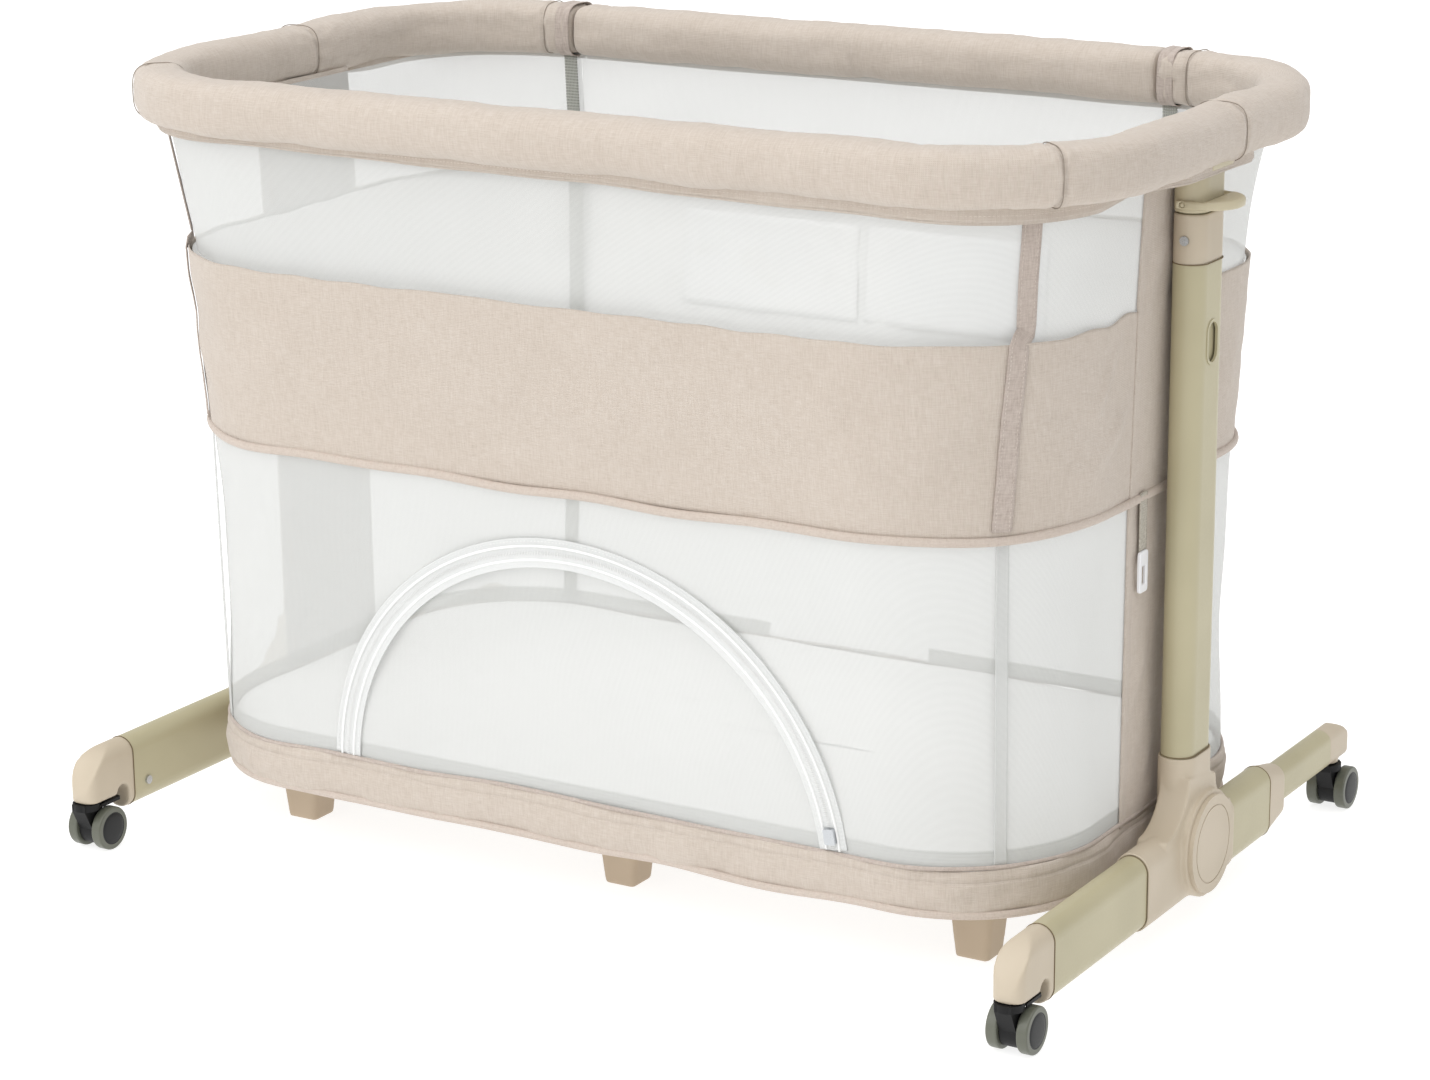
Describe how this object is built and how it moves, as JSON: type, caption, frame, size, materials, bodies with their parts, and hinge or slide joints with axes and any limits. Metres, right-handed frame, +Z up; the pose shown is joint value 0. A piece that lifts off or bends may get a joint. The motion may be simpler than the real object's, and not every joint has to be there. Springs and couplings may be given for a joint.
{
  "type": "bedside sleeper crib",
  "caption": "Bedside crib: fabric and mesh basket with padded rail and drop side on two telescopic posts with castored feet.",
  "frame": {"origin": "on the floor, in the middle of the footprint from the front tips to the rear wheels and between the two posts", "axes": "+Z up, +X to the right along the length, -Y to the front; the drop side is at +Y"},
  "size_m": [1.005, 0.7045, 0.708],
  "materials": {
    "moulded_plastic": "satin, fine grain",
    "powder_coat": "satin powder coat",
    "steel": "zinc plated",
    "caster_black": "fine matt",
    "tyre": "smooth, slightly glossy",
    "linen": "woven linen look",
    "mesh": "white knitted mesh",
    "white_cloth": "smooth woven cotton",
    "board": "bare board",
    "foot_plastic": "satin",
    "zip_tape": "ribbed tape",
    "zip_metal": "polished",
    "white_plastic": "glossy"
  },
  "bodies": {
    "stand": {"left_post_tube": "powder_coat", "left_post_sleeve": "moulded_plastic", "left_hub_housing": "moulded_plastic", "left_hub_cap": "moulded_plastic", "left_foot_tube": "powder_coat", "left_front_foot_cap": "moulded_plastic", "left_foot_collar": "moulded_plastic", "right_post_tube": "powder_coat", "right_post_sleeve": "moulded_plastic", "right_hub_housing": "moulded_plastic", "right_hub_cap": "moulded_plastic", "right_foot_tube": "powder_coat", "right_front_foot_cap": "moulded_plastic", "right_foot_collar": "moulded_plastic", "crossbar": "powder_coat", "stand_screws": "steel"},
    "basket": {"left_inner_tube": "powder_coat", "left_post_head": "moulded_plastic", "right_inner_tube": "powder_coat", "right_post_head": "moulded_plastic", "rail_tube": "powder_coat", "rail_pad": "linen", "mesh_wall": "mesh", "linen_band": "linen", "base_band": "linen", "base_board": "board", "mattress": "white_cloth", "end_panels": "linen", "base_feet": "foot_plastic", "zip_tape": "zip_tape", "strap_webbing": "zip_tape", "strap_clip": "white_plastic"},
    "left_extension": {"left_foot_extension": "powder_coat", "left_rear_foot_cap": "moulded_plastic"},
    "left_paddle": {"left_release_paddle": "powder_coat"},
    "right_extension": {"right_foot_extension": "powder_coat", "right_rear_foot_cap": "moulded_plastic"},
    "right_paddle": {"right_release_paddle": "powder_coat"},
    "front_left_swivel": {"front_left_caster_body": "caster_black", "front_left_caster_stem": "steel"},
    "front_left_wheels": {"front_left_caster_wheels": "caster_black", "front_left_caster_tyres": "tyre"},
    "front_left_brake": {"front_left_brake_pedal": "caster_black"},
    "front_right_swivel": {"front_right_caster_body": "caster_black", "front_right_caster_stem": "steel"},
    "front_right_wheels": {"front_right_caster_wheels": "caster_black", "front_right_caster_tyres": "tyre"},
    "front_right_brake": {"front_right_brake_pedal": "caster_black"},
    "rear_left_swivel": {"rear_left_caster_body": "caster_black", "rear_left_caster_stem": "steel"},
    "rear_left_wheels": {"rear_left_caster_wheels": "caster_black", "rear_left_caster_tyres": "tyre"},
    "rear_right_swivel": {"rear_right_caster_body": "caster_black", "rear_right_caster_stem": "steel"},
    "rear_right_wheels": {"rear_right_caster_wheels": "caster_black", "rear_right_caster_tyres": "tyre"},
    "drop_side": {"drop_rail_tube": "powder_coat", "drop_rail_pad": "linen", "drop_mesh_panel": "mesh"},
    "zip_pull": {"zip_slider": "zip_metal"}
  },
  "joints": [
    {"name": "basket_height", "type": "slide", "parent": "stand", "child": "basket", "axis": [0, 0, 1], "range_m": [0, 0.16]},
    {"name": "left_extension_slide", "type": "slide", "parent": "stand", "child": "left_extension", "axis": [0, 1, 0], "range_m": [-0.1, 0]},
    {"name": "left_paddle_lift", "type": "hinge", "parent": "basket", "child": "left_paddle", "pos_m": [-0.462, -0.0045, 0.63], "axis": [0, 1, 0], "range_deg": [0, 10], "stiffness_Nm_per_rad": 0.6},
    {"name": "right_extension_slide", "type": "slide", "parent": "stand", "child": "right_extension", "axis": [0, 1, 0], "range_m": [-0.1, 0]},
    {"name": "right_paddle_lift", "type": "hinge", "parent": "basket", "child": "right_paddle", "pos_m": [0.462, -0.0045, 0.63], "axis": [0, -1, 0], "range_deg": [0, 10], "stiffness_Nm_per_rad": 0.6},
    {"name": "front_left_caster_turn", "type": "hinge", "parent": "stand", "child": "front_left_swivel", "pos_m": [-0.468, -0.3415, 0.047], "axis": [0, 0, 1], "continuous": true},
    {"name": "front_left_wheel_roll", "type": "hinge", "parent": "front_left_swivel", "child": "front_left_wheels", "pos_m": [-0.468, -0.3275, 0.02], "axis": [1, 0, 0], "continuous": true},
    {"name": "front_left_brake_press", "type": "hinge", "parent": "front_left_swivel", "child": "front_left_brake", "pos_m": [-0.468, -0.3325, 0.043], "axis": [-1, 0, 0], "range_deg": [0, 6]},
    {"name": "front_right_caster_turn", "type": "hinge", "parent": "stand", "child": "front_right_swivel", "pos_m": [0.468, -0.3415, 0.047], "axis": [0, 0, 1], "continuous": true},
    {"name": "front_right_wheel_roll", "type": "hinge", "parent": "front_right_swivel", "child": "front_right_wheels", "pos_m": [0.468, -0.3275, 0.02], "axis": [1, 0, 0], "continuous": true},
    {"name": "front_right_brake_press", "type": "hinge", "parent": "front_right_swivel", "child": "front_right_brake", "pos_m": [0.468, -0.3325, 0.043], "axis": [-1, 0, 0], "range_deg": [0, 6]},
    {"name": "rear_left_caster_turn", "type": "hinge", "parent": "left_extension", "child": "rear_left_swivel", "pos_m": [-0.468, 0.3165, 0.047], "axis": [0, 0, 1], "continuous": true},
    {"name": "rear_left_wheel_roll", "type": "hinge", "parent": "rear_left_swivel", "child": "rear_left_wheels", "pos_m": [-0.468, 0.3305, 0.02], "axis": [1, 0, 0], "continuous": true},
    {"name": "rear_right_caster_turn", "type": "hinge", "parent": "right_extension", "child": "rear_right_swivel", "pos_m": [0.468, 0.3165, 0.047], "axis": [0, 0, 1], "continuous": true},
    {"name": "rear_right_wheel_roll", "type": "hinge", "parent": "rear_right_swivel", "child": "rear_right_wheels", "pos_m": [0.468, 0.3305, 0.02], "axis": [1, 0, 0], "continuous": true},
    {"name": "drop_side_fold", "type": "hinge", "parent": "basket", "child": "drop_side", "pos_m": [0, 0.2828, 0.5485], "axis": [-1, 0, 0], "range_deg": [0, 175]},
    {"name": "zip_pull_slide", "type": "hinge", "parent": "basket", "child": "zip_pull", "pos_m": [0.012, -0.2495, 0.082], "axis": [0, -0.9959, -0.0904], "range_deg": [0, 161]}
  ]
}
